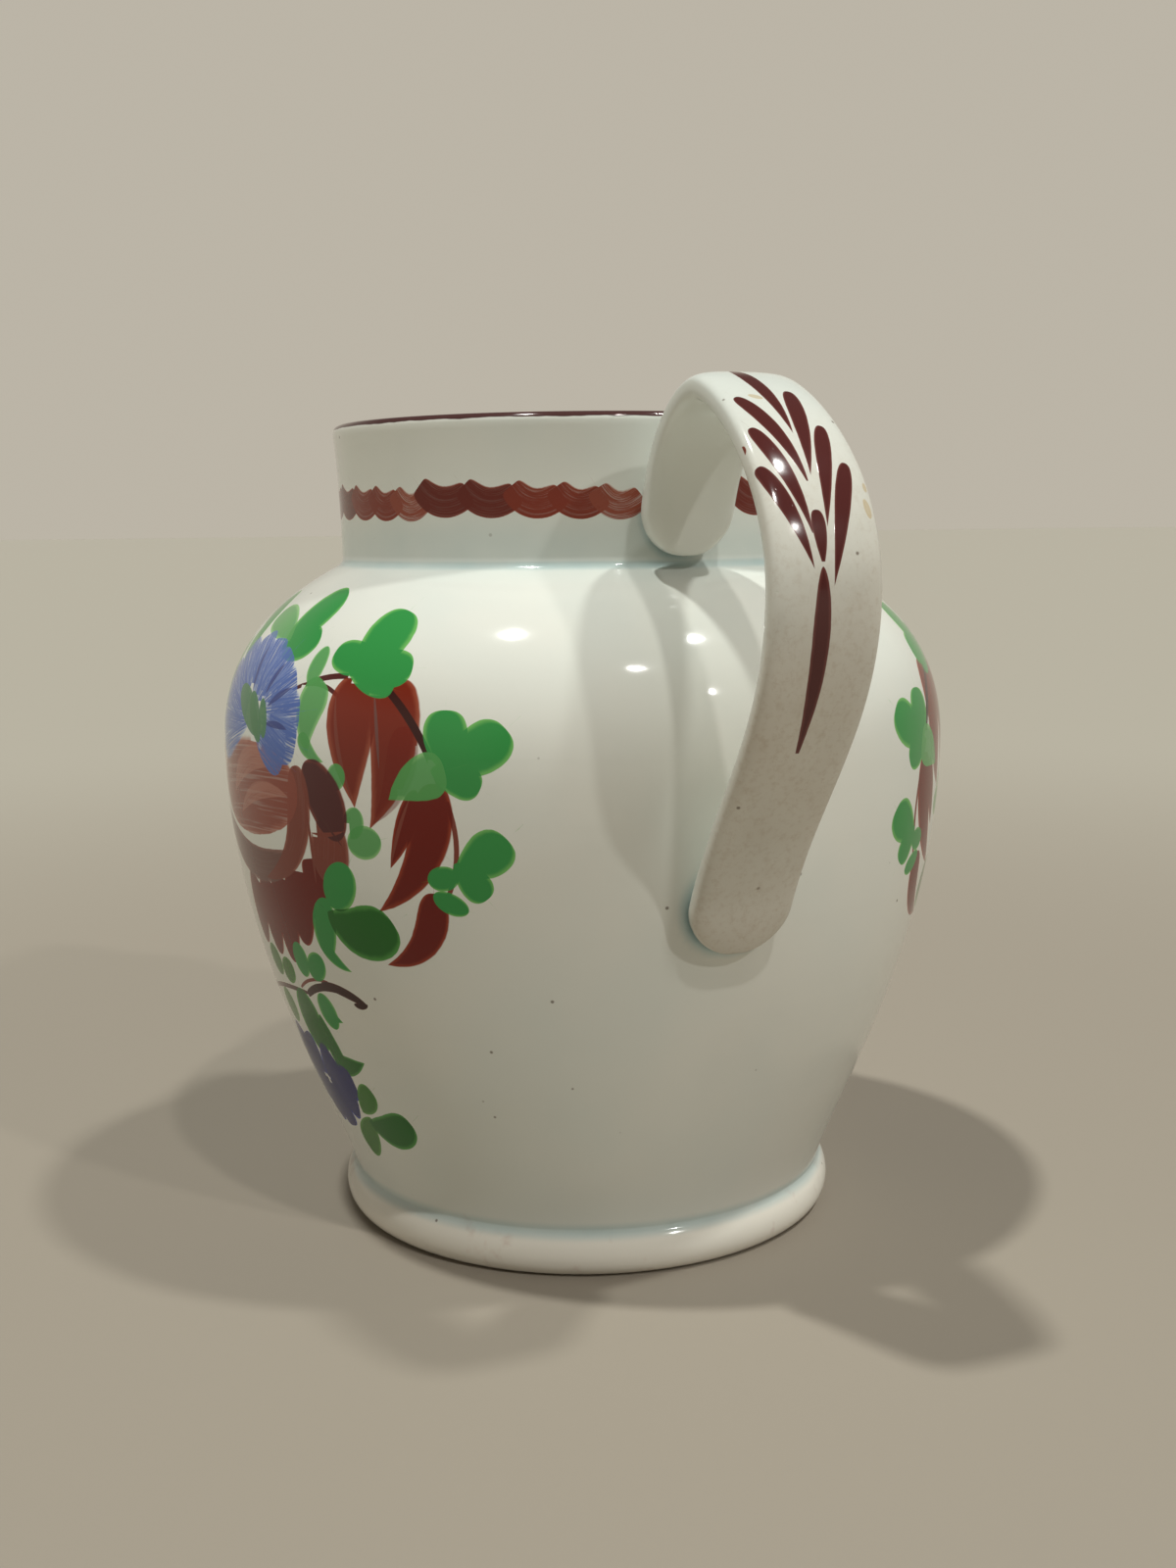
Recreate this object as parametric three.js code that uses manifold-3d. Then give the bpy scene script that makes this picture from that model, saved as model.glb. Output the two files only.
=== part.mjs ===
// A jug of glazed earthenware: a round belly on a rolled foot, an upright neck
// with a pulled pouring lip, and a strap handle opposite the lip. It is one
// fired piece, hollow and empty.
//
// Millimetres, +Z up. The origin is on the jug's axis, on the surface that the
// foot stands on. +X points to the handle and -X to the pouring lip.

import * as THREE from 'three';
import { mergeVertices } from 'three/addons/utils/BufferGeometryUtils.js';
import Module from 'manifold-3d';

// A curve of this reach, either side of its top, is close to a half round
const ROUND_REACH = 4 / 3;

// Driving dimensions of the thrown body, mm
const RIM_HEIGHT = 178;
const RIM_RADIUS = 55.4;
const NECK_RADIUS = 54;
const NECK_BASE_HEIGHT = 147.6;
const BELLY_RADIUS = 81.4;
const BELLY_HEIGHT = 108.5;
const FOOT_RADIUS = 56.4;
const FOOT_CREASE_RADIUS = 55.6;
const FOOT_HEIGHT = 9.8;
const FOOT_RING_INNER_RADIUS = 48;
const FOOT_RING_OUTER_RADIUS = 54.2;
const FOOT_RECESS = 1.4;
const WALL = 4;
const RIM_THICKNESS = 3.4;
const FLOOR_HEIGHT = 7.5;
const ROUND_STEPS = 60;

// How far the belly's outline runs nearly straight from each of its turning
// points before it bends: up from the foot, down and up from the widest place,
// and down the shoulder from the neck's base.
const FOOT_REACH = { radius: 2, height: 12.8 };
const BELLY_REACH_DOWN = 47.6;
const BELLY_REACH_UP = 21;
const SHOULDER_REACH = { radius: 14.4, height: 7.6 };
const NECK_CREASE = { radius: 0.7, height: 1 };
const RIM_ROUND = 1.7;
const FLOOR_CORNER = { radius: 15, height: 10 };

// The pouring lip: how far it is pulled out and up, how far below the rim the
// pull starts, and how far from its middle the rim is round again. The bends
// are powers: the higher one is, the nearer to the rim the pull gathers.
const LIP_PULL = 15;
const LIP_RISE = 5;
const LIP_DEPTH = 27;
const LIP_HALF_WIDTH = 31;
const LIP_PULL_BEND = 1.6;
const LIP_RISE_BEND = 2;

// The handle: a strap that lies on the neck, rises over the rim, bends down
// and ends on the belly. Radius is measured from the jug's axis.
const STRAP_START = { radius: 57, height: 149.5 };
const STRAP_TOP = { radius: 81, height: 180.9 };
const STRAP_BACK = { radius: 113.7, height: 144.4 };
const STRAP_END = { radius: 78.8, height: 74.4 };
const STRAP_END_LEAN = 0.31;
const STRAP_REACH = { start: 22.4, topBefore: 6.8, topAfter: 6.9, backUp: 22, backDown: 26.6, end: 31.9 };
const STRAP_START_LEAN = 1.6;
const STRAP_WIDTHS = [18.8, 19.6, 20, 21.2, 21.4, 21, 20.8, 20.8];
const STRAP_THICKNESSES = [7.2, 6.4, 5.6, 5.6, 5.6, 5.6, 6, 6.8];
const STRAP_STEPS = 44;
const STRAP_SIDES = 18;
const STRAP_SQUARENESS = 0.6;
const STRAP_TIP_THICKNESS = 0.4;

/** Points along a cubic Bezier curve in the half plane of radius and height. */
function cubic(points, steps) {
  const corners = points.map(([radius, height]) => new THREE.Vector2(radius, height));
  return new THREE.CubicBezierCurve(...corners).getPoints(steps);
}

/** The belly's outline from the foot's crease to the neck's base. */
function bellyOutline() {
  const lower = cubic([
    [FOOT_CREASE_RADIUS, FOOT_HEIGHT],
    [FOOT_CREASE_RADIUS + FOOT_REACH.radius, FOOT_HEIGHT + FOOT_REACH.height],
    [BELLY_RADIUS, BELLY_HEIGHT - BELLY_REACH_DOWN],
    [BELLY_RADIUS, BELLY_HEIGHT],
  ], 9);
  const neckFootRadius = NECK_RADIUS + NECK_CREASE.radius;
  const upper = cubic([
    [BELLY_RADIUS, BELLY_HEIGHT],
    [BELLY_RADIUS, BELLY_HEIGHT + BELLY_REACH_UP],
    [neckFootRadius + SHOULDER_REACH.radius, NECK_BASE_HEIGHT - SHOULDER_REACH.height],
    [neckFootRadius, NECK_BASE_HEIGHT],
  ], 9);
  return [...lower, ...upper.slice(1)];
}

/** The same outline moved inward by the wall's thickness. */
function offsetInward(outline, distance) {
  return outline.map((point, i) => {
    const before = outline[Math.max(i - 1, 0)];
    const after = outline[Math.min(i + 1, outline.length - 1)];
    const along = after.clone().sub(before).normalize();
    return new THREE.Vector2(point.x - along.y * distance, point.y + along.x * distance);
  });
}

/** The closed section of the thrown body, from the underside up and back down inside. */
function bodySection() {
  const foot = cubic([
    [FOOT_RING_OUTER_RADIUS, 0],
    [FOOT_RADIUS + 0.6, 1.6],
    [FOOT_RADIUS + 0.4, FOOT_HEIGHT - 2],
    [FOOT_CREASE_RADIUS, FOOT_HEIGHT],
  ], 5);
  const belly = bellyOutline();
  const rimRoundHeight = RIM_HEIGHT - RIM_ROUND;
  const neck = cubic([
    [NECK_RADIUS, NECK_BASE_HEIGHT + NECK_CREASE.height],
    [NECK_RADIUS, NECK_BASE_HEIGHT + 10],
    [NECK_RADIUS + 0.5, RIM_HEIGHT - 10],
    [RIM_RADIUS, rimRoundHeight],
  ], 5);
  const innerRimRadius = RIM_RADIUS - RIM_THICKNESS;
  const rim = cubic([
    [RIM_RADIUS, rimRoundHeight],
    [RIM_RADIUS, rimRoundHeight + ROUND_REACH * RIM_ROUND],
    [innerRimRadius, rimRoundHeight + ROUND_REACH * RIM_ROUND],
    [innerRimRadius, rimRoundHeight],
  ], 6);
  const cornerHeight = FLOOR_HEIGHT + FLOOR_CORNER.height;
  const inside = offsetInward(belly, WALL).filter((point) => point.y > cornerHeight).reverse();
  const innerNeckRadius = NECK_RADIUS - WALL;
  const throat = cubic([
    [innerRimRadius, rimRoundHeight],
    [innerNeckRadius, RIM_HEIGHT - 12],
    [innerNeckRadius, NECK_BASE_HEIGHT - 3],
    [inside[0].x, inside[0].y],
  ], 6);
  const lastInside = inside[inside.length - 1];
  const corner = cubic([
    [lastInside.x, lastInside.y],
    [lastInside.x - FLOOR_CORNER.radius / 6, FLOOR_HEIGHT + FLOOR_CORNER.height / 5],
    [lastInside.x - FLOOR_CORNER.radius / 2, FLOOR_HEIGHT],
    [lastInside.x - FLOOR_CORNER.radius, FLOOR_HEIGHT],
  ], 4);
  return [
    new THREE.Vector2(0, FOOT_RECESS),
    new THREE.Vector2(FOOT_RING_INNER_RADIUS - FOOT_RECESS, FOOT_RECESS),
    new THREE.Vector2(FOOT_RING_INNER_RADIUS, 0),
    ...foot,
    ...belly.slice(1),
    ...neck,
    ...rim.slice(1),
    ...throat.slice(1),
    ...inside.slice(1),
    ...corner.slice(1),
    new THREE.Vector2(0, FLOOR_HEIGHT),
  ];
}

/** Pulls the pouring lip out of the upper neck, inner and outer walls alike. */
function pullLip(geometry) {
  const place = geometry.attributes.position;
  for (let i = 0; i < place.count; i += 1) {
    const up = (place.getZ(i) - RIM_HEIGHT + LIP_DEPTH) / LIP_DEPTH;
    const aside = Math.min(Math.abs(place.getY(i)) / LIP_HALF_WIDTH, 1);
    if (up > 0 && place.getX(i) < 0) {
      const share = (1 + Math.cos(Math.PI * aside)) / 2;
      place.setX(i, place.getX(i) - LIP_PULL * share * up ** LIP_PULL_BEND);
      place.setZ(i, place.getZ(i) + LIP_RISE * share * up ** LIP_RISE_BEND);
    }
  }
}

/** The thrown body: its section turned round the axis, with the lip pulled. */
function bodyGeometry() {
  const geometry = new THREE.LatheGeometry(bodySection(), ROUND_STEPS);
  geometry.rotateX(Math.PI / 2);
  pullLip(geometry);
  return geometry;
}

/** The middle line of the strap, in the plane through the axis and the handle. */
function strapPath() {
  const at = (radius, height) => new THREE.Vector3(radius, 0, height);
  const lean = new THREE.Vector3(Math.sin(STRAP_END_LEAN), 0, Math.cos(STRAP_END_LEAN));
  const start = at(STRAP_START.radius, STRAP_START.height);
  const top = at(STRAP_TOP.radius, STRAP_TOP.height);
  const back = at(STRAP_BACK.radius, STRAP_BACK.height);
  const end = at(STRAP_END.radius, STRAP_END.height);
  const path = new THREE.CurvePath();
  path.add(new THREE.CubicBezierCurve3(
    start,
    at(start.x + STRAP_START_LEAN, start.z + STRAP_REACH.start),
    at(top.x - STRAP_REACH.topBefore, top.z),
    top,
  ));
  path.add(new THREE.CubicBezierCurve3(
    top,
    at(top.x + STRAP_REACH.topAfter, top.z),
    at(back.x, back.z + STRAP_REACH.backUp),
    back,
  ));
  path.add(new THREE.CubicBezierCurve3(
    back,
    at(back.x, back.z - STRAP_REACH.backDown),
    end.clone().addScaledVector(lean, STRAP_REACH.end),
    end,
  ));
  return path;
}

/** A smooth value along the strap, from a list of values at even shares of its length. */
function alongStrap(values) {
  const line = new THREE.SplineCurve(values.map((value, i) => new THREE.Vector2(i, value)));
  return (share) => line.getPoint(share).y;
}

/** How full the strap's outline is near its two tongue ends: 0 at a tip, 1 past the round. */
function tongueShare(distanceFromTip, round) {
  const left = 1 - Math.min(distanceFromTip / round, 1);
  return Math.sqrt(1 - left * left);
}

/** One ring of the strap: a flat oval with full edges, across the path at a share of it. */
function strapRing(path, share, width, thickness) {
  const middle = path.getPointAt(share);
  const along = path.getTangentAt(share);
  const outward = new THREE.Vector3(-along.z, 0, along.x);
  const squared = (value) => Math.sign(value) * Math.abs(value) ** STRAP_SQUARENESS;
  const ring = [];
  for (let i = 0; i < STRAP_SIDES; i += 1) {
    const angle = (2 * Math.PI * i) / STRAP_SIDES;
    const aside = (squared(Math.cos(angle)) * width) / 2;
    const off = (squared(Math.sin(angle)) * thickness) / 2;
    ring.push(middle.clone().addScaledVector(outward, off).setY(aside));
  }
  return ring;
}

/** The strap handle as a closed skin over its rings, with a tip at each end. */
function strapGeometry() {
  const path = strapPath();
  const length = path.getLength();
  const widthAt = alongStrap(STRAP_WIDTHS);
  const thicknessAt = alongStrap(STRAP_THICKNESSES);
  const vertices = [path.getPointAt(0)];
  for (let i = 1; i < STRAP_STEPS; i += 1) {
    // The steps are closer together near the tips, where the outline turns.
    const share = (1 - Math.cos((Math.PI * i) / STRAP_STEPS)) / 2;
    const width = widthAt(share);
    const full = tongueShare(Math.min(share, 1 - share) * length, width / 2);
    const thickness = thicknessAt(share) * THREE.MathUtils.lerp(STRAP_TIP_THICKNESS, 1, full);
    vertices.push(...strapRing(path, share, width * full, thickness));
  }
  vertices.push(path.getPointAt(1));

  const triangles = [];
  const last = vertices.length - 1;
  for (let side = 0; side < STRAP_SIDES; side += 1) {
    const next = (side + 1) % STRAP_SIDES;
    triangles.push(0, 1 + next, 1 + side);
    for (let ring = 0; ring < STRAP_STEPS - 2; ring += 1) {
      const near = 1 + ring * STRAP_SIDES;
      const far = near + STRAP_SIDES;
      triangles.push(near + side, near + next, far + next, near + side, far + next, far + side);
    }
    triangles.push(last, last - STRAP_SIDES + side, last - STRAP_SIDES + next);
  }
  const geometry = new THREE.BufferGeometry();
  geometry.setAttribute('position', new THREE.Float32BufferAttribute(
    vertices.flatMap((vertex) => [vertex.x, vertex.y, vertex.z]), 3));
  geometry.setIndex(triangles);
  return geometry;
}

const wasm = await Module();
wasm.setup();

/** A closed mesh as a solid that can be joined to another. */
function toSolid(geometry) {
  geometry.deleteAttribute('normal');
  geometry.deleteAttribute('uv');
  const merged = mergeVertices(geometry);
  const index = merged.index.array;
  const triangles = [];
  for (let i = 0; i < index.length; i += 3) {
    const [a, b, c] = [index[i], index[i + 1], index[i + 2]];
    if (a !== b && b !== c && c !== a) triangles.push(a, b, c);
  }
  return new wasm.Manifold(new wasm.Mesh({
    numProp: 3,
    vertProperties: new Float32Array(merged.attributes.position.array),
    triVerts: new Uint32Array(triangles),
  }));
}

/** A solid as a mesh geometry. */
function toGeometry(solid) {
  const { vertProperties, triVerts } = solid.getMesh();
  const geometry = new THREE.BufferGeometry();
  geometry.setAttribute('position', new THREE.Float32BufferAttribute(vertProperties, 3));
  geometry.setIndex(new THREE.Uint32BufferAttribute(triVerts, 1));
  geometry.computeVertexNormals();
  return geometry;
}

const jug = new THREE.Mesh(
  toGeometry(toSolid(bodyGeometry()).add(toSolid(strapGeometry()))),
  new THREE.MeshStandardMaterial({ color: 0xe6e4d8, roughness: 0.14, metalness: 0 }),
);
jug.name = 'jug';

const model = new THREE.Group();
model.add(jug);
export default model;
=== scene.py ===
"""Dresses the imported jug: a finely turned body with its lip and strap, a pooled glaze and painted flowers.

Sizes are in millimetres in the jug's own frame: the axis is Z, the strap is on +X and the pouring lip on -X.
"""

from __future__ import annotations

import logging
import math
from dataclasses import dataclass, field
from enum import Enum

import bmesh
import bpy
import numpy as np
from mathutils import Matrix, Vector
from mathutils.bvhtree import BVHTree

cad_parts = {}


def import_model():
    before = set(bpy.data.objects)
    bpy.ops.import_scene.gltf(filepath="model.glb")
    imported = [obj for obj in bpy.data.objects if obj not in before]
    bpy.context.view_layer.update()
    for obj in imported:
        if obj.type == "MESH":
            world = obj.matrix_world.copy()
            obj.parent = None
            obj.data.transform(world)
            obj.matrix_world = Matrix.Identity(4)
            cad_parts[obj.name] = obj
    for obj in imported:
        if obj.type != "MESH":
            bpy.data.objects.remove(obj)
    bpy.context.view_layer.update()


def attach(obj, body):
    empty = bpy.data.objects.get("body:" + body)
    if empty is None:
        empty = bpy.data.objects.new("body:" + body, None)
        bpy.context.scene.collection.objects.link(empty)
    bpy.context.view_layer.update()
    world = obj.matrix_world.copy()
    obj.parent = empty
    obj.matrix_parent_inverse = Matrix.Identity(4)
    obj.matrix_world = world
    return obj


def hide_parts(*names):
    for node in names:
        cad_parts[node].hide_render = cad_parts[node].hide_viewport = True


MM = 0.001
LAYERS = 4
WIDEST = 30.0
HALF_ROUND = 4 / 3
FAR = 1e3
LOG = logging.getLogger("jug")

Point = tuple[float, float]
Colour = tuple[float, float, float]
Limits = tuple[float, float]
Mark = tuple[Point, Point, float, float]


def cubic(corners: list[Point], steps: int) -> list[Point]:
    """Samples a cubic Bezier curve.

    Args:
        corners: its four control points.
        steps: how many equal steps of the parameter to take.

    Returns:
        The points from start to end, both included.
    """
    share = np.linspace(0.0, 1.0, steps + 1)[:, None]
    a, b, c, d = (np.array(corner) for corner in corners)
    left = 1.0 - share
    curve = left**3 * a + 3 * left**2 * share * b + 3 * left * share**2 * c + share**3 * d
    return [tuple(point) for point in curve]


def arc_lengths(points: np.ndarray) -> np.ndarray:
    """Returns the length along a polyline up to each of its points."""
    return np.r_[0.0, np.cumsum(np.linalg.norm(np.diff(points, axis=0), axis=1))]


def point_values(mesh: bpy.types.Mesh, name: str) -> np.ndarray:
    """Returns an attribute's number at every vertex of a mesh."""
    values = np.empty(len(mesh.vertices), np.float32)
    mesh.attributes[name].data.foreach_get("value", values)
    return values


def new_object(name: str, shape: bmesh.types.BMesh) -> bpy.types.Object:
    """Puts a bmesh, in millimetres, into a new object in metres.

    Args:
        name: the object's name.
        shape: the bmesh, which is freed.

    Returns:
        The object, linked to the scene, smooth all over.
    """
    bmesh.ops.scale(shape, vec=(MM, MM, MM), verts=shape.verts)
    mesh = bpy.data.meshes.new(name)
    shape.to_mesh(mesh)
    shape.free()
    mesh.shade_smooth()
    made = bpy.data.objects.new(name, mesh)
    bpy.context.scene.collection.objects.link(made)
    return made


@dataclass
class ThrownBody:
    """The turned foot, belly, shoulder and neck, and the lip pulled out of the neck."""

    rim_height: float = 178.0
    rim_radius: float = 55.4
    rim_thickness: float = 3.4
    rim_round: float = 1.7
    neck_radius: float = 54.0
    neck_base_height: float = 147.6
    belly_radius: float = 81.4
    belly_height: float = 108.5
    foot_roll_reach: float = 57.9
    foot_crease_radius: float = 54.9
    foot_height: float = 9.8
    foot_ring_inner: float = 48.0
    foot_ring_outer: float = 54.2
    foot_recess: float = 1.4
    wall: float = 4.0
    floor_height: float = 7.5
    lip_pull: float = 15.0
    lip_rise: float = 5.0
    lip_depth: float = 27.0
    lip_half_width: float = 31.0
    lip_pull_bend: float = 1.6
    lip_rise_bend: float = 2.0
    undo_steps: int = 12
    turns: int = 384

    def belly_outline(self, lower_steps: int, upper_steps: int) -> list[Point]:
        """Returns radius and height from the foot's crease up to the neck's base."""
        lower = cubic(
            [
                (self.foot_crease_radius, self.foot_height),
                (self.foot_crease_radius + 2.7, self.foot_height + 12.8),
                (self.belly_radius, self.belly_height - 47.6),
                (self.belly_radius, self.belly_height),
            ],
            lower_steps,
        )
        upper = cubic(
            [
                (self.belly_radius, self.belly_height),
                (self.belly_radius, self.belly_height + 21.0),
                (self.neck_radius + 15.1, self.neck_base_height - 7.6),
                (self.neck_radius + 0.7, self.neck_base_height),
            ],
            upper_steps,
        )
        return lower + upper[1:]

    def neck_outline(self, steps: int) -> list[Point]:
        """Returns radius and height from the neck's base up to the round of the rim."""
        return cubic(
            [
                (self.neck_radius, self.neck_base_height + 1.0),
                (self.neck_radius, self.neck_base_height + 10.0),
                (self.neck_radius + 0.5, self.rim_height - 10.0),
                (self.rim_radius, self.rim_height - self.rim_round),
            ],
            steps,
        )

    def outer_outline(self) -> np.ndarray:
        """Returns the painted side's radius and height, from the foot's crease to the rim."""
        return np.array(self.belly_outline(90, 70) + self.neck_outline(40))

    def section(self) -> list[Point]:
        """Returns the closed section, from the underside up the outside and down the inside."""
        foot = cubic(
            [
                (self.foot_ring_outer, 0.0),
                (self.foot_roll_reach, 1.0),
                (self.foot_roll_reach, self.foot_height - 2.9),
                (self.foot_crease_radius, self.foot_height),
            ],
            12,
        )
        belly = self.belly_outline(74, 46)
        neck = self.neck_outline(22)
        round_height = self.rim_height - self.rim_round
        inner_rim = self.rim_radius - self.rim_thickness
        crown_height = round_height + self.rim_round * HALF_ROUND
        rim = cubic(
            [
                (self.rim_radius, round_height),
                (self.rim_radius, crown_height),
                (inner_rim, crown_height),
                (inner_rim, round_height),
            ],
            10,
        )
        coarse = np.array(self.belly_outline(14, 12))
        along = np.gradient(coarse, axis=0)
        along /= np.linalg.norm(along, axis=1)[:, None]
        inside = coarse + self.wall * np.c_[-along[:, 1], along[:, 0]]
        inside = [tuple(point) for point in inside if point[1] > self.floor_height + 10.0][::-1]
        inner_neck = self.neck_radius - self.wall
        throat = cubic(
            [
                (inner_rim, round_height),
                (inner_neck, self.rim_height - 12.0),
                (inner_neck, self.neck_base_height - 3.0),
                inside[0],
            ],
            12,
        )
        edge = inside[-1][0]
        corner = cubic(
            [
                inside[-1],
                (edge - 2.5, self.floor_height + 2.0),
                (edge - 7.5, self.floor_height),
                (edge - 15.0, self.floor_height),
            ],
            6,
        )
        underside = [(0.0, self.foot_recess), (self.foot_ring_inner - 2.2, self.foot_recess)]
        underside += [(self.foot_ring_inner - 1.4, self.foot_recess - 0.2), (self.foot_ring_inner, 0.1)]
        underside += [(self.foot_ring_inner + 0.6, 0.0)]
        outside = foot + belly[1:] + neck + rim[1:]
        return underside + outside + throat[1:] + inside[1:] + corner[1:] + [(0.0, self.floor_height)]

    def pulled(self, place: Vector) -> Vector:
        """Returns where a point of the round neck goes when the lip is pulled."""
        up = (place.z - self.rim_height + self.lip_depth) / self.lip_depth
        if up <= 0.0 or place.x >= 0.0:
            return place
        aside = min(abs(place.y) / self.lip_half_width, 1.0)
        share = (1.0 + math.cos(math.pi * aside)) / 2.0
        out = self.lip_pull * share * up**self.lip_pull_bend
        return place + Vector((-out, 0.0, self.lip_rise * share * up**self.lip_rise_bend))

    def thrown(self, place: Vector) -> Vector:
        """Returns where a point was before the lip was pulled."""
        before = place.copy()
        for _ in range(self.undo_steps):
            before = place - (self.pulled(before) - before)
        return before

    def build(self) -> bpy.types.Object:
        """Spins the section round the axis and pulls the lip.

        Returns:
            The body as a closed object.
        """
        shape = bmesh.new()
        chain = [shape.verts.new((radius, 0.0, height)) for radius, height in self.section()]
        edges = [shape.edges.new(pair) for pair in zip(chain, chain[1:])]
        bmesh.ops.spin(
            shape,
            geom=chain + edges,
            cent=(0.0, 0.0, 0.0),
            axis=(0.0, 0.0, 1.0),
            angle=2 * math.pi,
            steps=self.turns,
            use_merge=True,
        )
        bmesh.ops.remove_doubles(shape, verts=shape.verts, dist=0.01)
        bmesh.ops.recalc_face_normals(shape, faces=shape.faces)
        for vert in shape.verts:
            vert.co = self.pulled(vert.co)
        return new_object("thrown_body", shape)


@dataclass
class Strap:
    """The handle: a flat strap of clay bent over from the neck to the belly."""

    start: Point = (57.0, 149.5)
    top: Point = (81.0, 180.4)
    back: Point = (113.6, 144.4)
    end: Point = (78.8, 74.4)
    end_lean: float = 0.31
    end_reach: float = 31.9
    widths: tuple[float, ...] = (18.8, 19.6, 20.0, 21.2, 21.4, 21.0, 20.8, 20.8)
    thicknesses: tuple[float, ...] = (7.2, 6.4, 5.6, 5.6, 5.6, 5.6, 6.0, 6.8)
    squareness: float = 0.6
    tip_thickness: float = 0.4
    nearest: float = 45.0
    furthest_aside: float = 16.0
    rings: int = 150
    sides: int = 48
    path: np.ndarray = field(init=False)
    lengths: np.ndarray = field(init=False)

    def __post_init__(self) -> None:
        """Samples the middle line in the plane through the axis and the strap."""
        run, climb = self.end_reach * math.sin(self.end_lean), self.end_reach * math.cos(self.end_lean)
        lean = (self.end[0] + run, self.end[1] + climb)
        rise = cubic([self.start, (58.6, 171.9), (self.top[0] - 6.8, self.top[1]), self.top], 120)
        over = [self.top, (self.top[0] + 6.9, self.top[1]), (self.back[0], self.back[1] + 22.0), self.back]
        down = cubic([self.back, (self.back[0], self.back[1] - 26.6), lean, self.end], 160)
        self.path = np.array(rise + cubic(over, 160)[1:] + down[1:])
        self.lengths = arc_lengths(self.path)

    def along(self, values: tuple[float, ...], share: float) -> float:
        """Returns a value that is given at even shares of the strap, at any share of it."""
        return float(np.interp(share, np.linspace(0.0, 1.0, len(values)), values))

    def place(self, share: float, turn: float) -> Vector:
        """Finds a point of the strap's skin.

        Args:
            share: how far along the strap, 0 to 1.
            turn: how far round its section, 0 to 1.

        Returns:
            The point in millimetres.
        """
        length = self.lengths[-1]
        wanted = (share * length, min(share * length + 0.4, length), max(share * length - 0.4, 0.0))
        radius, radius_ahead, radius_behind = np.interp(wanted, self.lengths, self.path[:, 0])
        height, height_ahead, height_behind = np.interp(wanted, self.lengths, self.path[:, 1])
        run, rise = radius_ahead - radius_behind, height_ahead - height_behind
        size = math.hypot(run, rise)
        width = self.along(self.widths, share)
        left = 1.0 - min(min(share, 1.0 - share) * length / (width / 2), 1.0)
        full = math.sqrt(max(1.0 - left * left, 0.0))
        thick = self.along(self.thicknesses, share)
        thick *= self.tip_thickness + (1.0 - self.tip_thickness) * full if full > 0 else 0.0
        angle = 2 * math.pi * turn
        across, out = math.cos(angle), math.sin(angle)
        aside = math.copysign(abs(across) ** self.squareness, across) * width * full / 2
        off = math.copysign(abs(out) ** self.squareness, out) * thick / 2
        return Vector((radius - off * rise / size, aside, height + off * run / size))

    def unrolled(self, places: np.ndarray) -> tuple[np.ndarray, np.ndarray, np.ndarray]:
        """Measures places against the strap's middle line.

        Args:
            places: an array of points in millimetres.

        Returns:
            How far each is to the side, along the line, and off it towards the outer face.
        """
        aside, along, off = places[:, 1].copy(), np.full(len(places), -FAR), np.full(len(places), -FAR)
        index = np.flatnonzero((places[:, 0] > self.nearest) & (np.abs(aside) < self.furthest_aside))
        flat = places[index][:, [0, 2]]
        gap = np.linalg.norm(flat[:, None] - self.path[None], axis=2)
        best = np.argmin(gap, axis=1)
        ways = np.gradient(self.path, axis=0)
        ways /= np.linalg.norm(ways, axis=1)[:, None]
        reach, way = flat - self.path[best], ways[best]
        along[index] = self.lengths[best] + np.einsum("ij,ij->i", reach, way)
        off[index] = way[:, 0] * reach[:, 1] - way[:, 1] * reach[:, 0]
        return aside, along, off

    def build(self) -> bpy.types.Object:
        """Wraps a grid round the middle line.

        Returns:
            The strap as a closed object.
        """
        shape = bmesh.new()
        bmesh.ops.create_grid(shape, x_segments=self.rings, y_segments=self.sides, size=0.5)
        for vert in shape.verts:
            even = vert.co.x + 0.5
            share = (1.0 - math.cos(math.pi * even)) / 4 + even / 2
            vert.co = self.place(share, vert.co.y + 0.5)
        bmesh.ops.remove_doubles(shape, verts=shape.verts, dist=0.004)
        bmesh.ops.recalc_face_normals(shape, faces=shape.faces)
        return new_object("strap", shape)


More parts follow.
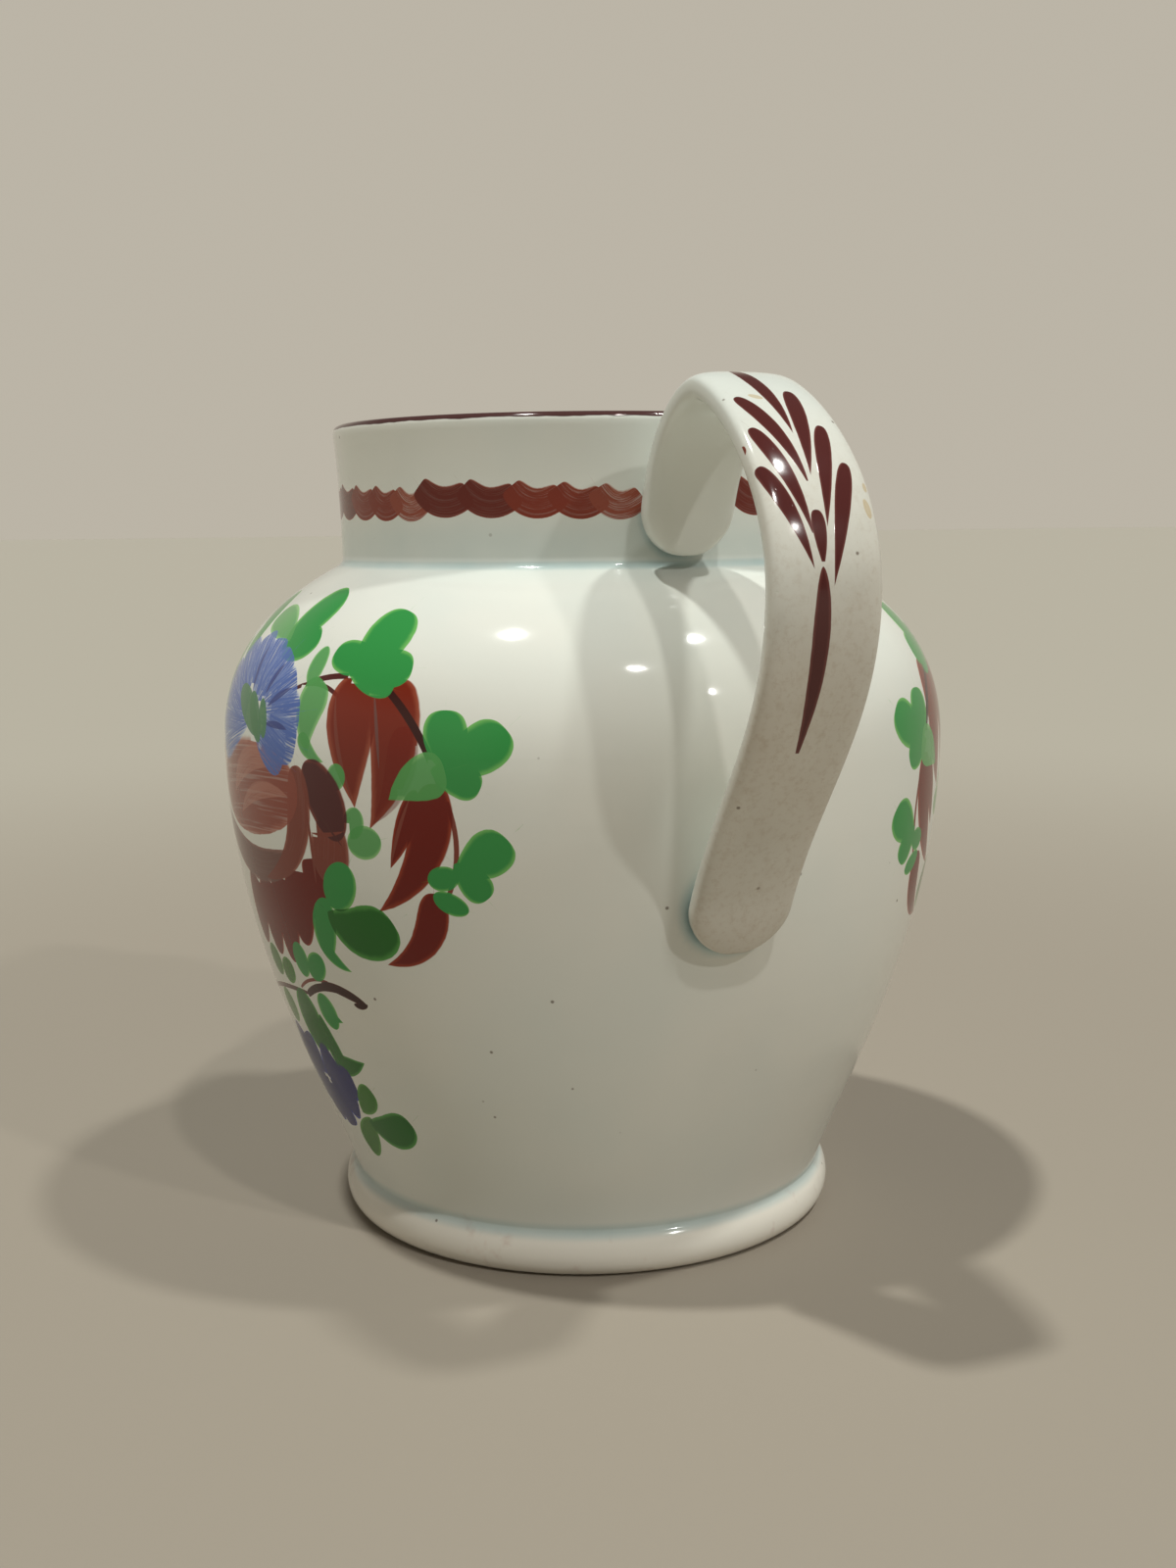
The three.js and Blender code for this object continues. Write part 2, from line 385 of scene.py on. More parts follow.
@dataclass
class FiredJug:
    """The body and the strap as one fired piece, with the clay worked smooth where they meet."""

    body: ThrownBody
    strap: Strap
    seam_reach: float = 1.7
    pool_reach: float = 3.2
    strap_fade: float = 1.2
    strap_height: float = 160.0
    stain_start: float = 45.0
    stain_length: float = 60.0

    def build(self) -> bpy.types.Object:
        """Joins the strap to the body, softens the seam and notes where glaze gathers.

        Returns:
            The jug, with what the glaze and the painter need on its points.
        """
        body = self.body.build()
        strap = self.strap.build()
        graph = bpy.context.evaluated_depsgraph_get()
        trees = [BVHTree.FromObject(part, graph) for part in (body, strap)]
        join = body.modifiers.new("join", "BOOLEAN")
        join.operation = "UNION"
        join.solver = "EXACT"
        join.object = strap
        graph.update()
        mesh = bpy.data.meshes.new_from_object(body.evaluated_get(graph))
        mesh.name = "glazed_jug"
        bpy.data.objects.remove(body)
        bpy.data.objects.remove(strap)
        self.soften(mesh, trees)
        jug = bpy.data.objects.new("glazed_jug", mesh)
        bpy.context.scene.collection.objects.link(jug)
        mesh.shade_smooth()
        self.mark(mesh, trees)
        return jug

    def distances(self, place: Vector, trees: list[BVHTree]) -> tuple[float, float]:
        """Returns a point's distances to the body's skin and the strap's, in millimetres."""
        return tuple(tree.find_nearest(place)[3] / MM for tree in trees)

    def soften(self, mesh: bpy.types.Mesh, trees: list[BVHTree]) -> None:
        """Smooths the clay within reach of the seam between body and strap."""
        shape = bmesh.new()
        shape.from_mesh(mesh)
        bmesh.ops.remove_doubles(shape, verts=shape.verts, dist=0.02 * MM)
        near = [
            vert
            for vert in shape.verts
            if vert.co.x > 0.045 and abs(vert.co.y) < 0.02
            and max(self.distances(vert.co, trees)) < self.seam_reach
        ]
        for _ in range(10):
            bmesh.ops.smooth_vert(
                shape, verts=near, factor=0.5, use_axis_x=True, use_axis_y=True, use_axis_z=True
            )
        shape.to_mesh(mesh)
        shape.free()

    def mark(self, mesh: bpy.types.Mesh, trees: list[BVHTree]) -> None:
        """Writes each point's nearness to the seam, its share of strap and stain, and where it was thrown."""
        pool = np.zeros(len(mesh.vertices), np.float32)
        strap = np.zeros(len(mesh.vertices), np.float32)
        before = [self.body.thrown(vert.co / MM) for vert in mesh.vertices]
        height = np.array([place.z for place in before], np.float32)
        radius = np.array([math.hypot(place.x, place.y) for place in before], np.float32)
        for vert in mesh.vertices:
            if vert.co.x < 0.045 or abs(vert.co.y) > 0.022:
                continue
            to_body, to_strap = self.distances(vert.co, trees)
            strap[vert.index] = min(max((to_body - to_strap) / self.strap_fade + 0.5, 0.0), 1.0)
            pool[vert.index] = max(1.0 - max(to_body, to_strap) / self.pool_reach, 0.0)
        places = np.array([vert.co / MM for vert in mesh.vertices])
        along, off = self.strap.unrolled(places)[1:]
        stained = np.clip((along - self.stain_start) / self.stain_length, 0, 1)
        stain = strap * stained * np.clip(off / 2 + 0.6, 0.25, 1)
        height[strap > 0.5] = self.strap_height
        attributes = {"pool": pool, "strap": strap, "stain": stain.astype(np.float32)}
        attributes |= {"thrown_height": height, "thrown_radius": radius}
        for name, values in attributes.items():
            mesh.attributes.new(name, "FLOAT", "POINT").data.foreach_set("value", values)


class Pigment(Enum):
    """The potter's colours, in the order of the palette ramps."""

    LEAF = 0
    PALE_LEAF = 1
    DEEP_LEAF = 2
    OLIVE = 3
    SAGE = 4
    IRON_RED = 5
    DEEP_RED = 6
    ROSE = 7
    ROSE_PALE = 8
    MAUVE = 9
    MAROON = 10
    UMBER = 11
    STEM = 12
    BLUE = 13
    NAVY = 14
    NAVY_WASH = 15
    PLUM = 16
    BARE = 17
    BAND_DARK = 18
    BAND_MID = 19
    BAND_PALE = 20
    SMEAR = 21
    RED_WASH = 22


@dataclass(frozen=True)
class PigmentFinish:
    """How a painted colour fires: its body, its thin edge, how streaky it is and how well it covers."""

    body: Colour
    edge: Colour
    streaks: float = 0.1
    cover: float = 1.0


PALETTE: dict[Pigment, PigmentFinish] = {
    Pigment.LEAF: PigmentFinish((0.036, 0.275, 0.062), (0.165, 0.46, 0.115), 0.0),
    Pigment.PALE_LEAF: PigmentFinish((0.085, 0.33, 0.085), (0.24, 0.52, 0.18), 0.0, 0.95),
    Pigment.DEEP_LEAF: PigmentFinish((0.014, 0.135, 0.014), (0.075, 0.30, 0.055), 0.0),
    Pigment.OLIVE: PigmentFinish((0.045, 0.185, 0.022), (0.11, 0.32, 0.06), 0.0),
    Pigment.SAGE: PigmentFinish((0.07, 0.21, 0.085), (0.10, 0.23, 0.16), 0.1, 0.96),
    Pigment.IRON_RED: PigmentFinish((0.185, 0.020, 0.008), (0.31, 0.070, 0.036), 0.14),
    Pigment.DEEP_RED: PigmentFinish((0.145, 0.006, 0.001), (0.28, 0.036, 0.012), 0.14),
    Pigment.ROSE: PigmentFinish((0.26, 0.058, 0.036), (0.40, 0.14, 0.095), 0.3),
    Pigment.ROSE_PALE: PigmentFinish((0.46, 0.20, 0.145), (0.54, 0.29, 0.22), 0.5, 0.6),
    Pigment.MAUVE: PigmentFinish((0.160, 0.062, 0.052), (0.26, 0.115, 0.095), 0.2),
    Pigment.MAROON: PigmentFinish((0.082, 0.017, 0.017), (0.20, 0.045, 0.032), 0.16),
    Pigment.UMBER: PigmentFinish((0.20, 0.044, 0.028), (0.30, 0.095, 0.062), 0.2),
    Pigment.STEM: PigmentFinish((0.040, 0.009, 0.007), (0.11, 0.03, 0.022), 0.1),
    Pigment.BLUE: PigmentFinish((0.080, 0.145, 0.42), (0.40, 0.48, 0.67), 0.55),
    Pigment.NAVY: PigmentFinish((0.004, 0.010, 0.125), (0.03, 0.055, 0.33), 0.15),
    Pigment.NAVY_WASH: PigmentFinish((0.03, 0.045, 0.20), (0.09, 0.13, 0.38), 0.25, 0.85),
    Pigment.PLUM: PigmentFinish((0.085, 0.020, 0.018), (0.15, 0.045, 0.038), 0.08),
    Pigment.BARE: PigmentFinish((0.60, 0.56, 0.47), (0.60, 0.56, 0.47), 0.0, 0.9),
    Pigment.BAND_DARK: PigmentFinish((0.130, 0.014, 0.007), (0.30, 0.065, 0.035), 0.22),
    Pigment.BAND_MID: PigmentFinish((0.205, 0.026, 0.011), (0.37, 0.10, 0.055), 0.28),
    Pigment.BAND_PALE: PigmentFinish((0.265, 0.055, 0.03), (0.44, 0.17, 0.11), 0.42),
    Pigment.SMEAR: PigmentFinish((0.50, 0.36, 0.16), (0.60, 0.48, 0.30), 0.4, 0.6),
    Pigment.RED_WASH: PigmentFinish((0.165, 0.009, 0.002), (0.22, 0.02, 0.006), 0.3, 0.6),
}


class Brush(Enum):
    """How a stroke swells: the powers of its share from the start and from the tip."""

    DAB = (0.5, 0.5)
    ROUND = (0.42, 0.42)
    LOBE = (0.7, 0.38)
    PETAL = (0.95, 0.3)
    FEATHER = (0.38, 1.0)
    TAIL = (0.6, 1.4)
    BLOCK = (0.13, 0.42)
    BLADE = (0.55, 0.95)
    REED = (0.9, 0.9)
    LINE = (0.12, 0.12)

    def fullest(self) -> float:
        """Returns the greatest value of the two powers' product."""
        start, tip = self.value
        share = start / (start + tip)
        return share**start * (1.0 - share) ** tip


@dataclass(frozen=True)
class Stroke:
    """One brush stroke on the unrolled surface, in millimetres.

    The bow is how far its middle swings to the left of the way from start to tip.
    """

    start: Point
    tip: Point
    width: float
    pigment: Pigment
    brush: Brush = Brush.DAB
    bow: float = 0.0

    def mirrored(self, about: float) -> Stroke:
        """Returns the stroke seen in an upright mirror at a place across the surface."""
        start = (2 * about - self.start[0], self.start[1])
        tip = (2 * about - self.tip[0], self.tip[1])
        return Stroke(start, tip, self.width, self.pigment, self.brush, -self.bow)

    def middle_line(self) -> np.ndarray:
        """Returns points along the bowed middle line."""
        start, tip = np.array(self.start), np.array(self.tip)
        way = (tip - start) / np.linalg.norm(tip - start)
        bend = (start + tip) / 2 + 2 * self.bow * np.array([-way[1], way[0]])
        share = np.linspace(0.0, 1.0, 25)[:, None]
        return (1 - share) ** 2 * start + 2 * (1 - share) * share * bend + share**2 * tip

    def coordinates(self, places: np.ndarray) -> tuple[np.ndarray, np.ndarray, np.ndarray]:
        """Measures places against the stroke.

        Args:
            places: an array of points on the unrolled surface.

        Returns:
            The share along the stroke, the distance to its left, and how deep inside its
            outline each place is, the last two in millimetres.
        """
        line = self.middle_line()
        lengths = arc_lengths(line)
        steps = np.diff(line, axis=0)
        size = np.linalg.norm(steps, axis=1)
        ways = steps / size[:, None]
        offset = places[:, None, :] - line[None, :-1, :]
        ahead = np.einsum("psk,sk->ps", offset, ways)
        low = np.zeros(len(size))
        high = size.copy()
        low[0], high[-1] = -FAR, FAR
        held = np.clip(ahead, low, high)
        gap = offset - held[:, :, None] * ways[None]
        best = np.argmin(np.einsum("psk,psk->ps", gap, gap), axis=1)
        rows = np.arange(len(places))
        way, reach = ways[best], offset[rows, best]
        left = way[:, 0] * reach[:, 1] - way[:, 1] * reach[:, 0]
        share = (lengths[best] + held[rows, best]) / lengths[-1]
        beyond = np.maximum(np.maximum(-share, share - 1.0), 0.0) * lengths[-1]
        start_power, tip_power = self.brush.value
        within = np.clip(share, 0.03, 0.97)
        half = self.width / 2 * within**start_power * (1.0 - within) ** tip_power / self.brush.fullest()
        return share, left, half - np.abs(left) - beyond


class Canvas:
    """Lays brush strokes on the faces of a mesh.

    A face remembers the last strokes that touch it. Each of its corners keeps its place in
    those strokes, so the shader draws every edge sharply on a plain mesh.
    """

    reach = 0.95

    def __init__(self, mesh: bpy.types.Mesh) -> None:
        """Reads a mesh's corners.

        Args:
            mesh: the mesh to paint on.
        """
        self.mesh = mesh
        corners = len(mesh.loops)
        self.corner_vert = np.empty(corners, np.int32)
        mesh.loops.foreach_get("vertex_index", self.corner_vert)
        totals = np.empty(len(mesh.polygons), np.int32)
        mesh.polygons.foreach_get("loop_total", totals)
        self.corner_face = np.repeat(np.arange(len(totals)), totals)
        self.layers = np.zeros((LAYERS, corners, 4), np.float32)
        self.layers[:, :, 1] = 9.0
        self.pigments = np.zeros((corners, 4), np.float32)

    def paint(
        self, unrolled: np.ndarray, usable: np.ndarray, strokes: list[Stroke], girth: float = 1e6
    ) -> None:
        """Lays strokes on part of the surface, each over the ones before.

        Args:
            unrolled: each vertex's place on the unrolled surface, in millimetres.
            usable: which vertices that surface holds.
            strokes: the strokes, in the order of painting.
            girth: the way round the surface, after which it meets itself.
        """
        for stroke in strokes:
            line = stroke.middle_line()
            places = unrolled.copy()
            places[:, 0] = (places[:, 0] - stroke.start[0] + girth / 2) % girth - girth / 2 + stroke.start[0]
            margin = stroke.width / 2 + 3.0
            low, high = line.min(axis=0) - margin, line.max(axis=0) + margin
            near = usable & np.all((places > low) & (places < high), axis=1)
            index = np.flatnonzero(near)
            if not len(index):
                continue
            share, left, depth = stroke.coordinates(places[index])
            touched = np.zeros(len(places), bool)
            touched[index] = depth > -self.reach
            faces = np.zeros(self.corner_face[-1] + 1, bool)
            faces[self.corner_face[touched[self.corner_vert]]] = True
            faces[self.corner_face[~near[self.corner_vert]]] = False
            chosen = faces[self.corner_face]
            spread = np.zeros((len(places), 2), np.float32)
            spread[index, 0] = share
            spread[index, 1] = left / (stroke.width / 2) * stroke.brush.fullest()
            verts = self.corner_vert[chosen]
            self.layers[:-1, chosen] = self.layers[1:, chosen]
            self.pigments[chosen, : LAYERS - 1] = self.pigments[chosen, 1:LAYERS]
            self.layers[-1, chosen, 0:2] = spread[verts]
            self.layers[-1, chosen, 2:4] = stroke.brush.value
            breadth = min(max(stroke.width / WIDEST, 0.01), 0.99)
            self.pigments[chosen, LAYERS - 1] = (stroke.pigment.value + breadth) / len(Pigment)

    def finish(self) -> None:
        """Writes the strokes to the mesh as corner attributes."""
        for number, values in enumerate(self.layers):
            layer = self.mesh.attributes.new(f"stroke_{number}", "FLOAT_COLOR", "CORNER")
            layer.data.foreach_set("color", values.ravel())
        layer = self.mesh.attributes.new("pigments", "FLOAT_COLOR", "CORNER")
        layer.data.foreach_set("color", self.pigments.ravel())


class Decoration:
    """The painter's work: a bouquet on each side, a twisted band on the neck and a fan on the strap.

    A bouquet's places are millimetres from the middle of the jug's side towards the strap, and up the
    belly from the crease of the foot.
    """

    chart_radius = 81.4
    neck_radius = 54.2
    mirror_line = 12.0
    skin = 1.5
    side_reach = 1.4
    belly_top = 148.0
    neck_zone = (150.0, 174.0)

    def strokes(self, pigment: Pigment, brush: Brush, *marks: Mark) -> list[Stroke]:
        """Returns strokes of one colour and one brush.

        Args:
            pigment: the colour.
            brush: the brush.
            marks: each stroke's start, tip, width and bow.

        Returns:
            The strokes in the order given.
        """
        return [Stroke(start, tip, width, pigment, brush, bow) for start, tip, width, bow in marks]

    def lobes(self, pigment: Pigment, *marks: Mark) -> list[Stroke]:
        """Returns fat leaf lobes of one green, from each one's start, tip, width and bow."""
        return self.strokes(pigment, Brush.LOBE, *marks)

    def cornflower(self) -> list[Stroke]:
        """Returns the pale blue flower at the top of a bouquet."""
        heart = (16.0, 111.5)
        tips = [(-7, 104.5), (-12, 111), (-11.5, 119.5), (-4, 126.5), (5.5, 130), (15.5, 129.6)]
        tips += [(24.5, 126.6), (31, 120.8), (34.6, 114.4), (34.4, 107.8), (30.4, 104.4)]
        petals = [Stroke(heart, tip, 10.6, Pigment.BLUE, Brush.PETAL) for tip in tips]
        folds = [((13, 117), (11, 128)), ((20, 117), (24, 124)), ((22, 114.5), (30, 119))]
        folds += [((22, 111), (31, 110.5))]
        petals += [Stroke(low, high, 1.5, Pigment.NAVY_WASH, Brush.REED, 0.4) for low, high in folds]
        return petals + self.strokes(
            Pigment.SAGE,
            Brush.DAB,
            ((5, 117.5), (19, 108.5), 6.0, 0.8),
            ((13, 117), (20, 107), 4.6, 0.5),
            ((19, 116), (22, 108), 3.4, 0.4),
        )

    def rose(self) -> list[Stroke]:
        """Returns the red flower in the middle of a bouquet."""
        skirt = self.strokes(
            Pigment.DEEP_RED,
            Brush.BLOCK,
            ((10.5, 76.5), (5, 61), 10, -0.6),
            ((17.5, 77.5), (14, 60), 10, -0.4),
            ((24.5, 79), (21, 59.6), 10.5, 0.4),
            ((31, 81.5), (29, 65), 10, 0.6),
            ((37.5, 85), (36.2, 70.4), 8.6, 1.0),
        )
        return skirt + [
            Stroke((43.6, 94), (42, 80), 11, Pigment.UMBER, Brush.ROUND, 0.4),
            Stroke((37, 104.2), (45.6, 89.4), 10.4, Pigment.MAROON, Brush.DAB, 1.8),
            Stroke((33, 85), (-12, 90), 8.2, Pigment.MAUVE, Brush.DAB, 6.8),
            Stroke((34.2, 103.6), (17, 78), 7.6, Pigment.UMBER, Brush.FEATHER, 7.6),
            Stroke((-9, 104), (1, 92), 7, Pigment.ROSE_PALE, Brush.DAB, -2.0),
            Stroke((-7, 95), (34.6, 98), 21, Pigment.ROSE, Brush.ROUND, 1.0),
            Stroke((4, 95), (28, 103), 6.0, Pigment.ROSE_PALE, Brush.REED, 4.4),
            Stroke((8, 91), (31, 97), 4.0, Pigment.ROSE_PALE, Brush.REED, 3.0),
            Stroke((37.2, 96), (37.6, 79.5), 0.9, Pigment.STEM, Brush.REED, 0.4),
            Stroke((38, 90.4), (47.6, 91.6), 0.9, Pigment.STEM, Brush.REED, -0.5),
            Stroke((41, 94.6), (47, 88.4), 0.5, Pigment.BARE, Brush.REED),
        ]

    def bells(self) -> list[Stroke]:
        """Returns the three hanging red flowers and their stems."""
        red, deep, stem = Pigment.IRON_RED, Pigment.DEEP_RED, Pigment.STEM
        return [
            Stroke((30, 118), (58, 120.5), 1.3, Pigment.UMBER, Brush.LINE, 3.0),
            Stroke((30.5, 118.6), (46, 117.6), 1.0, Pigment.UMBER, Brush.LINE, 2.2),
            Stroke((70.6, 101.5), (70, 78.5), 1.1, stem, Brush.LINE, 3.0),
            Stroke((50, 122.6), (51, 96.6), 13.4, red, Brush.FEATHER, -0.6),
            Stroke((59, 122), (54.4, 92.8), 11.4, red, Brush.FEATHER, 3.4),
            Stroke((62.6, 113), (55.0, 93.6), 7.0, Pigment.RED_WASH, Brush.FEATHER, 2.6),
            Stroke((44.6, 118.6), (50.6, 97.5), 1.0, stem, Brush.REED, -0.6),
            Stroke((54.4, 119.5), (57.2, 104.6), 0.8, Pigment.MAROON, Brush.REED, 0.5),
            Stroke((65.2, 101), (58.6, 85.2), 4.6, deep, Brush.BLADE, 0.4),
            Stroke((64, 99.6), (58.6, 85.4), 0.8, stem, Brush.REED, -0.3),
            Stroke((69, 102.4), (54.4, 75.8), 8.8, deep, Brush.FEATHER, 4.5),
            Stroke((67.8, 80.8), (54.4, 64.4), 7.2, deep, Brush.FEATHER, 4.2),
            Stroke((56, 121), (70.8, 101), 1.7, stem, Brush.LINE, 2.2),
        ]

    def spray(self) -> list[Stroke]:
        """Returns the leaves among the bells."""
        made = self.lobes(
            Pigment.LEAF,
            ((50.5, 121), (55, 138.4), 13.2, 0.4),
            ((56, 125), (40, 127.6), 7.8, 0.3),
            ((47, 125), (62.2, 124.6), 8.4, -0.3),
            ((45, 125.4), (58.8, 120.2), 6.4, -0.3),
            ((72.5, 104.5), (71, 116.4), 9.2, 0.3),
            ((70.5, 106), (83.4, 113), 9.8, -1.0),
            ((68.5, 105), (78.4, 101.6), 7.0, 0.3),
            ((73, 86), (83.4, 92.2), 9.2, -0.7),
            ((72.6, 87), (79, 80.2), 6.6, 0.2),
        )
        pale = Pigment.PALE_LEAF
        return made + [
            Stroke((73.4, 84.6), (66.8, 83.2), 5.0, Pigment.LEAF, Brush.DAB),
            Stroke((67.8, 80.6), (75, 77.6), 4.4, Pigment.LEAF, Brush.DAB, -0.3),
            Stroke((71.4, 105), (59.2, 98.8), 9.0, pale, Brush.FEATHER, -0.7),
            Stroke((35.6, 120), (36.6, 128.6), 5.2, pale, Brush.DAB),
            Stroke((39.8, 121), (38.2, 106.2), 8.8, pale, Brush.FEATHER, -1.6),
            Stroke((35.8, 110.2), (43, 105), 3.6, pale, Brush.FEATHER, -1.1),
            Stroke((45.2, 99.8), (47.5, 104.8), 4.8, pale, Brush.DAB),
            Stroke((49.2, 90.4), (51.4, 96.6), 5.2, pale, Brush.DAB),
            Stroke((48.4, 89.2), (56.8, 90.8), 6.8, pale, Brush.DAB, -0.2),
        ]

    def crown(self) -> list[Stroke]:
        """Returns the leaves over the blue flower."""
        near = [((22, 124.5), (27.8, 143.6), 13.6, 1.8), ((18, 128.4), (31.8, 131.4), 8.4, -1.6)]
        pale = [((20, 129.5), (0, 135.5), 8.4, -1.0), ((-2, 122), (-6, 133.5), 7.5, 0.5)]
        made = self.lobes(Pigment.LEAF, *near) + self.lobes(Pigment.PALE_LEAF, *pale)
        return made + self.lobes(Pigment.LEAF, ((-2, 128), (-13, 141), 9.5, -1.2))

    def lower_spray(self) -> list[Stroke]:
        """Returns the leaves, bud and dark flower that hang under the rose."""
        leaf, deep, olive = Pigment.LEAF, Pigment.DEEP_LEAF, Pigment.OLIVE
        made = [
            Stroke((41.4, 75.2), (47.8, 84.6), 8.8, leaf, Brush.DAB),
            Stroke((40.6, 76.6), (37.4, 63.6), 7.4, leaf, Brush.DAB, -1.4),
            Stroke((35.4, 67.2), (43.6, 61.2), 3.6, leaf, Brush.FEATHER, -1.0),
            Stroke((39.8, 74), (57.6, 73.6), 12.0, deep, Brush.LOBE, -3.2),
            Stroke((-12, 46), (23, 52.6), 1.2, Pigment.UMBER, Brush.LINE, 1.5),
            Stroke((20.4, 53.4), (34, 57.2), 0.8, Pigment.STEM, Brush.LINE, 1.2),
            Stroke((23, 52.2), (40, 55.6), 1.9, Pigment.STEM, Brush.LINE, 1.7),
            Stroke((31, 56.4), (45.8, 53.6), 2.4, Pigment.STEM, Brush.DAB, 0.9),
            Stroke((41.5, 53.4), (46, 54), 1.5, Pigment.STEM, Brush.DAB, -0.4),
            Stroke((24.6, 56.8), (25.2, 64.9), 6.4, leaf, Brush.DAB),
            Stroke((27.6, 57.8), (34, 63), 6.2, leaf, Brush.DAB, -0.2),
            Stroke((8, 54), (9.5, 61.4), 7.4, olive, Brush.DAB),
            Stroke((12.6, 54.4), (19, 58.6), 6.0, olive, Brush.DAB),
            Stroke((29, 53.8), (31.4, 45.4), 7.2, leaf, Brush.DAB),
            Stroke((31, 49), (35.2, 47.8), 2.2, leaf, Brush.FEATHER),
            Stroke((8, 50.5), (6.5, 42), 8.0, olive, Brush.DAB),
            Stroke((19.4, 53), (19.6, 36.6), 11.6, deep, Brush.DAB),
            Stroke((25.4, 48), (28.4, 34), 6.4, deep, Brush.LOBE, -0.8),
            Stroke((24.4, 35.8), (38.4, 38.5), 5.6, deep, Brush.FEATHER, -0.9),
        ]
        heart = (14.0, 30.0)
        tips = [(-2, 33), (0, 24), (7, 18), (17, 17), (26.5, 23.6), (30, 31), (23.5, 37), (10, 40), (1, 39)]
        made += [Stroke(heart, tip, 9.4, Pigment.NAVY, Brush.PETAL) for tip in tips]
        made += self.lobes(olive, ((28, 23.4), (36.8, 30.8), 7.0, 0.2), ((31, 22.6), (21.6, 12.4), 8.6, 0.6))
        return made + self.lobes(deep, ((29.4, 21.2), (48, 24.6), 9.6, -2.4))

    def bouquet(self) -> list[Stroke]:
        """Returns a bouquet: flowers that hang to both sides of one rose."""
        side = self.bells() + self.spray()
        far = [stroke.mirrored(self.mirror_line) for stroke in side]
        return far + self.crown() + side + self.rose() + self.lower_spray() + self.cornflower()

    def band(self) -> list[Stroke]:
        """Returns the twisted red band of the neck, painted in runs with one load of colour each."""
        tones = [Pigment.BAND_DARK, Pigment.BAND_DARK, Pigment.BAND_MID, Pigment.BAND_MID, Pigment.BAND_PALE]
        pitches = [10.8, 10.2, 9.0, 8.2, 7.6]
        strokes = []
        for place in (13.0, 58.8, 104.6, 150.2, -145.0, -99.8, -54.4):
            for number, (tone, pitch) in enumerate(zip(tones, pitches)):
                start = (place - 0.4, 169.9 - 0.25 * number)
                tip = (place + pitch + 0.8, 168.5 - 0.25 * number)
                strokes.append(Stroke(start, tip, 6.4 - 0.15 * number, tone, Brush.LINE, -2.6))
                place += pitch
        return strokes

    def fan(self) -> list[Stroke]:
        """Returns the fan of feather strokes that runs over the top of the strap and down its back."""
        made = self.strokes(
            Pigment.PLUM,
            Brush.FEATHER,
            ((-2.2, 43.0), (-0.8, 66.5), 3.2, -0.6),
            ((-7.4, 55.6), (-1.6, 77.5), 3.2, -0.8),
            ((-8.2, 64.6), (-2.8, 86.0), 3.2, -0.4),
            ((-9.7, 73.2), (-3.2, 91.0), 3.1, -0.2),
            ((3.7, 53.6), (-0.8, 75.5), 3.3, -0.1),
            ((5.4, 64.2), (0.0, 84.5), 3.1, 0.4),
            ((6.8, 72.8), (0.4, 93.6), 3.2, 0.6),
            ((-1.6, 81.6), (-1.5, 91.0), 2.7, 0.0),
        )
        made.append(Stroke((-1.6, 90.6), (-1.2, 128.5), 3.4, Pigment.PLUM, Brush.TAIL, 0.2))
        made += self.strokes(
            Pigment.SMEAR,
            Brush.DAB,
            ((-4.8, 55.2), (-2.4, 56.4), 1.4, 0.0),
            ((8.4, 79.6), (8.9, 83.0), 1.5, 0.0),
            ((9.4, 76.4), (9.3, 78.2), 1.0, 0.0),
        )
        return made + [Stroke((-10.5, 67.6), (-10.7, 69.8), 0.9, Pigment.STEM, Brush.DAB)]

    def paint(self, mesh: bpy.types.Mesh, body: ThrownBody, strap: Strap) -> None:
        """Lays every stroke on the jug.

        Args:
            mesh: the jug's mesh, in metres.
            body: the turned body, for its outline.
            strap: the strap, for its middle line.
        """
        places = np.empty(len(mesh.vertices) * 3, np.float32)
        mesh.vertices.foreach_get("co", places)
        places = places.reshape(-1, 3).astype(float) / MM
        on_strap, height = point_values(mesh, "strap"), point_values(mesh, "thrown_height")
        outline = body.outer_outline()
        up = np.interp(height, outline[:, 1], arc_lengths(outline))
        depth = np.interp(height, outline[:, 1], outline[:, 0]) - point_values(mesh, "thrown_radius")
        outside = (depth < self.skin) & (on_strap < 0.5)
        turn = np.arctan2(places[:, 1], places[:, 0])
        canvas = Canvas(mesh)
        for side in (-1, 1):
            from_side = (turn - side * math.pi / 2 + math.pi) % (2 * math.pi) - math.pi
            chart = np.c_[-side * from_side * self.chart_radius, up]
            usable = outside & (np.abs(from_side) < self.side_reach)
            usable &= (height > body.foot_height) & (height < self.belly_top)
            canvas.paint(chart, usable, self.bouquet())
        low, high = self.neck_zone
        usable = outside & (height > low) & (height < high)
        girth = 2 * math.pi * self.neck_radius
        canvas.paint(np.c_[turn * self.neck_radius, up], usable, self.band(), girth)
        lateral, along, off = strap.unrolled(places)
        canvas.paint(np.c_[lateral, along], (on_strap > 0.5) & (off > 0.4), self.fan())
        canvas.finish()


